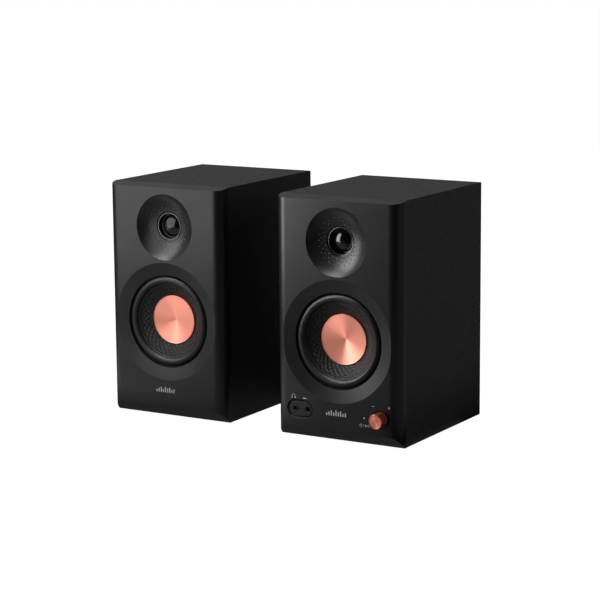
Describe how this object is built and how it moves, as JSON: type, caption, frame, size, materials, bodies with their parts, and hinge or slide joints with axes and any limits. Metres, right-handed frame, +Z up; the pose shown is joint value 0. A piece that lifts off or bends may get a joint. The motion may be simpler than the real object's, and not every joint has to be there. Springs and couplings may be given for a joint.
{
  "type": "desktop speakers",
  "caption": "Pair of boxy two-way desktop speakers in black with copper-coloured dust caps, shallow driver dishes and a copper volume knob and small jacks on the right one.",
  "frame": {"origin": "centre of the pair's overall box, on the surface that the feet stand on", "axes": "+X to the listener's right as the listener faces the speakers' fronts, +Y from the fronts to the backs, +Z up; the fronts face -Y"},
  "size_m": [0.308, 0.176, 0.2175],
  "materials": {
    "cabinet_vinyl": "pebble grain vinyl wrap",
    "baffle_satin": "fine satin texture",
    "board_black": "black painted fibreboard",
    "surround_rubber": "smooth rubber",
    "cone_black": "black treated paper",
    "spider_cloth": "treated cloth",
    "copper_turned": "turned copper colour",
    "coil_copper": "wound copper on a former",
    "steel_black": "black painted steel",
    "magnet_steel": "plated steel and ferrite",
    "screw_black": "black oxide",
    "tweeter_plastic": "gloss black",
    "trim_chrome": "dark chrome",
    "dome_gloss": "coated dome",
    "port_plastic": "moulded",
    "foot_rubber": "matt rubber",
    "moulded_black": "moulded",
    "clip_red": "moulded",
    "clip_black": "moulded",
    "rocker_black": "moulded",
    "trim_knob_black": "moulded",
    "steel_bright": "bright",
    "jack_body": "moulded",
    "light_clear": "clear light pipe",
    "circuit_board": "solder mask"
  },
  "bodies": {
    "right_speaker": {"right_cabinet": "cabinet_vinyl", "right_front_baffle": "baffle_satin", "right_rear_board": "board_black", "right_woofer_basket": "steel_black", "right_woofer_magnet": "magnet_steel", "right_screws": "screw_black", "right_tweeter_housing": "tweeter_plastic", "right_tweeter_trim_ring": "trim_chrome", "right_tweeter_magnet": "magnet_steel", "right_port_tube": "port_plastic", "right_feet": "foot_rubber", "right_terminal_housing": "moulded_black", "encoder_case": "moulded_black", "jack_plate": "moulded_black", "headphone_jack": "jack_body", "aux_jack": "jack_body", "status_light": "light_clear", "front_board": "circuit_board", "amplifier_plate": "steel_black", "mains_module": "moulded_black", "tone_pots": "steel_bright", "balanced_jacks": "jack_body", "phono_sockets": "steel_bright", "amplifier_board": "circuit_board", "power_supply_board": "circuit_board"},
    "right_woofer_moving": {"right_woofer_cone": "cone_black", "right_dust_cap": "copper_turned", "right_voice_coil": "coil_copper", "right_woofer_surround": "surround_rubber", "right_spider": "spider_cloth"},
    "right_tweeter_moving": {"right_tweeter_dome": "dome_gloss"},
    "volume_rotor": {"encoder_rotor": "steel_bright"},
    "volume_knob_and_shaft": {"volume_knob": "copper_turned", "encoder_shaft": "steel_bright"},
    "power_rocker": {"power_rocker": "rocker_black"},
    "bass_knob": {"bass_knob": "trim_knob_black"},
    "treble_knob": {"treble_knob": "trim_knob_black"},
    "right_lever_red": {"right_terminal_lever_red": "clip_red"},
    "right_lever_black": {"right_terminal_lever_black": "clip_black"},
    "left_speaker": {"left_cabinet": "cabinet_vinyl", "left_front_baffle": "baffle_satin", "left_rear_board": "board_black", "left_woofer_basket": "steel_black", "left_woofer_magnet": "magnet_steel", "left_screws": "screw_black", "left_tweeter_housing": "tweeter_plastic", "left_tweeter_trim_ring": "trim_chrome", "left_tweeter_magnet": "magnet_steel", "left_port_tube": "port_plastic", "left_feet": "foot_rubber", "left_terminal_housing": "moulded_black", "crossover_board": "circuit_board"},
    "left_woofer_moving": {"left_woofer_cone": "cone_black", "left_dust_cap": "copper_turned", "left_voice_coil": "coil_copper", "left_woofer_surround": "surround_rubber", "left_spider": "spider_cloth"},
    "left_tweeter_moving": {"left_tweeter_dome": "dome_gloss"},
    "left_lever_red": {"left_terminal_lever_red": "clip_red"},
    "left_lever_black": {"left_terminal_lever_black": "clip_black"}
  },
  "joints": [
    {"name": "left_speaker_spacing", "type": "slide", "parent": "right_speaker", "child": "left_speaker", "axis": [1, 0, 0], "range_m": [-0.3, 0.05]},
    {"name": "right_woofer_stroke", "type": "slide", "parent": "right_speaker", "child": "right_woofer_moving", "axis": [0, 1, 0], "range_m": [-0.0025, 0.0025], "stiffness_N_per_m": 900, "deforming": ["right_woofer_surround", "right_spider"]},
    {"name": "right_tweeter_stroke", "type": "slide", "parent": "right_speaker", "child": "right_tweeter_moving", "axis": [0, 1, 0], "range_m": [-0.0003, 0.0003], "stiffness_N_per_m": 600},
    {"name": "volume_turn", "type": "hinge", "parent": "right_speaker", "child": "volume_rotor", "pos_m": [0.1363, -0.088, 0.0275], "axis": [0, 1, 0], "continuous": true},
    {"name": "volume_press", "type": "slide", "parent": "volume_rotor", "child": "volume_knob_and_shaft", "axis": [0, 1, 0], "range_m": [0, 0.0008], "stiffness_N_per_m": 2500},
    {"name": "power_rock", "type": "hinge", "parent": "right_speaker", "child": "power_rocker", "pos_m": [0.117, 0.079, 0.0497], "axis": [1, 0, 0], "range_deg": [0, 20]},
    {"name": "bass_turn", "type": "hinge", "parent": "right_speaker", "child": "bass_knob", "pos_m": [0.063, 0.078, 0.1325], "axis": [0, 1, 0], "range_deg": [-140, 140]},
    {"name": "treble_turn", "type": "hinge", "parent": "right_speaker", "child": "treble_knob", "pos_m": [0.085, 0.078, 0.1325], "axis": [0, 1, 0], "range_deg": [-140, 140]},
    {"name": "right_lever_red_press", "type": "hinge", "parent": "right_speaker", "child": "right_lever_red", "pos_m": [0.083, 0.0786, 0.0537], "axis": [-1, 0, 0], "range_deg": [0, 14], "stiffness_Nm_per_rad": 0.25},
    {"name": "right_lever_black_press", "type": "hinge", "parent": "right_speaker", "child": "right_lever_black", "pos_m": [0.065, 0.0786, 0.0537], "axis": [-1, 0, 0], "range_deg": [0, 14], "stiffness_Nm_per_rad": 0.25},
    {"name": "left_lever_red_press", "type": "hinge", "parent": "left_speaker", "child": "left_lever_red", "pos_m": [-0.083, 0.0836, 0.0687], "axis": [-1, 0, 0], "range_deg": [0, 14], "stiffness_Nm_per_rad": 0.25},
    {"name": "left_lever_black_press", "type": "hinge", "parent": "left_speaker", "child": "left_lever_black", "pos_m": [-0.101, 0.0836, 0.0687], "axis": [-1, 0, 0], "range_deg": [0, 14], "stiffness_Nm_per_rad": 0.25},
    {"name": "left_woofer_stroke", "type": "slide", "parent": "left_speaker", "child": "left_woofer_moving", "axis": [0, 1, 0], "range_m": [-0.0025, 0.0025], "stiffness_N_per_m": 900, "deforming": ["left_woofer_surround", "left_spider"]},
    {"name": "left_tweeter_stroke", "type": "slide", "parent": "left_speaker", "child": "left_tweeter_moving", "axis": [0, 1, 0], "range_m": [-0.0003, 0.0003], "stiffness_N_per_m": 600}
  ]
}
